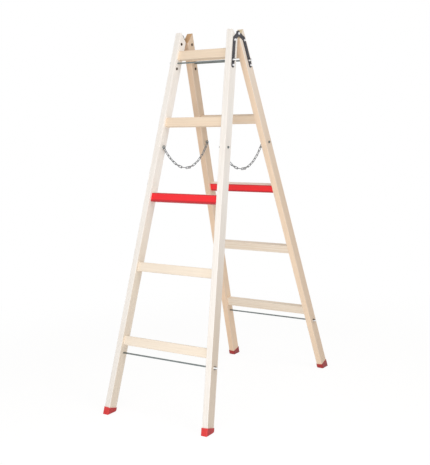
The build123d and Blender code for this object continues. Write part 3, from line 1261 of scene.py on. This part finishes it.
@dataclass(frozen=True)
class Studio:
    """Plain floor, soft lamps and a white surround.

    Attributes:
        floor_half: Half size of the floor.
        paper, cloud_size: Colours of the floor, outside clouds and in them, and their size.
        sky, sky_colour: Strength and colour of the even light from all round.
        shadow_share: Share of the lamps' own light that shows on the floor beside the ladder.
        shadow_reach: Distances from the middle over which that share ends.
        floor_level: How bright that light is there, away from the shadow.
        target: Where the lamps point.
        lamps: Large lamp in front and lamp above on the right.
    """

    floor_half: float = 6.0
    paper: tuple[Colour, Colour] = (srgb(244, 242, 240), srgb(240, 238, 236))
    cloud_size: float = 0.8
    sky: float = 0.52
    sky_colour: Colour = srgb(255, 253, 250)
    shadow_share: float = 0.12
    shadow_reach: Span = (0.9, 2.0)
    floor_level: float = 0.68
    target: Triple = (0.0, 0.0, 0.75)
    lamps: tuple[Lamp, ...] = (
        Lamp("key_lamp", place=(0.75, -2.1, 0.9), size=1.2, power=21.0),
        Lamp("fill_lamp", place=(1.6, -0.4, 2.5), size=1.0, power=14.0),
    )

    def show(self, wiring: Wiring, lit: Node, shown: Node, end: str, share: Number = 1.0) -> None:
        """Ends a tree with one shader to look at and another that lights the ladder.

        Args:
            wiring: Wiring of the world or of the floor's material.
            lit: Shader that lights the ladder.
            shown: Shader that is looked at.
            end: Type of the output node.
            share: Share of the second shader in what is looked at.
        """
        path = wiring.add("ShaderNodeLightPath")
        looked: Number = 0.0
        for ray in ("Is Camera Ray", "Is Glossy Ray", "Is Transmission Ray"):
            looked = wiring.math("MAXIMUM", looked, path.outputs[ray])
        mix = wiring.add("ShaderNodeMixShader")
        wiring.feed(mix.inputs[0], wiring.math("MULTIPLY", looked, share))
        wiring.feed(mix.inputs[1], lit.outputs[0])
        wiring.feed(mix.inputs[2], shown.outputs[0])
        wiring.fill(wiring.add(end), Surface=mix.outputs[0])

    def build_world(self) -> None:
        """Makes the surround white to look at and an even light otherwise."""
        world = bpy.data.worlds.new("studio_surround")
        bpy.context.scene.world = world
        wiring = empty_wiring(world)
        light = wiring.add("ShaderNodeBackground")
        wiring.fill(light, Color=self.sky_colour, Strength=self.sky)
        seen = wiring.add("ShaderNodeBackground")
        wiring.fill(seen, Color=WHITE, Strength=1.0)
        self.show(wiring, light, seen, "ShaderNodeOutputWorld")

    def build_floor(self) -> None:
        """Lays the floor, white to look at, which still takes the ladder's shadow."""
        half = self.floor_half
        mesh = bpy.data.meshes.new("floor")
        corners = [(-half, -half, 0), (half, -half, 0), (half, half, 0), (-half, half, 0)]
        mesh.from_pydata(corners, [], [(0, 1, 2, 3)])
        floor = bpy.data.objects.new("floor", mesh)
        bpy.context.scene.collection.objects.link(floor)
        material = bpy.data.materials.new("floor_paper")
        wiring = empty_wiring(material)
        paper = wiring.add("ShaderNodeBsdfDiffuse")
        place = wiring.add("ShaderNodeTexCoord").outputs["Object"]
        cloud = Mottle().place(wiring, Vector=place, Size=self.cloud_size).outputs["Cloud"]
        wiring.fill(paper, Color=wiring.mix(cloud, *self.paper))
        lift = self.shadow_share * (1.0 - self.floor_level) / (1.0 - self.shadow_share)
        reach = wiring.vector("LENGTH", place)
        even = wiring.ramp(reach, self.shadow_reach, (1.0 - self.shadow_share, 1.0))
        bright = wiring.ramp(reach, self.shadow_reach, (1.0 + lift, 1.0))
        glow = wiring.fill(wiring.add("ShaderNodeEmission"), Color=WHITE, Strength=bright)
        self.show(wiring, paper, glow, "ShaderNodeOutputMaterial", even)
        mesh.materials.append(material)

    def build(self) -> None:
        """Builds surround, floor and lamps."""
        bpy.context.scene.view_settings.view_transform = "Standard"
        self.build_world()
        self.build_floor()
        for lamp in self.lamps:
            lamp.build(Vector(self.target))


def main() -> None:
    """Dresses the ladder and sets the studio round it."""
    logging.basicConfig(level=logging.INFO, format="%(name)s: %(message)s")
    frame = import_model()
    nodes = frame["nodes"]
    for section in Section:
        ladder = LadderSection(section, nodes)
        ladder.dress_stiles()
        ladder.dress_rungs()
        ladder.dress_feet()
        ladder.dress_hardware()
    dress(nodes["hinge_rivets"], ZINC_PLATE.material(Z_AXIS))
    dress_chains(nodes)
    PhotoCamera().build()
    Studio().build()


if __name__ == "__main__":
    main()
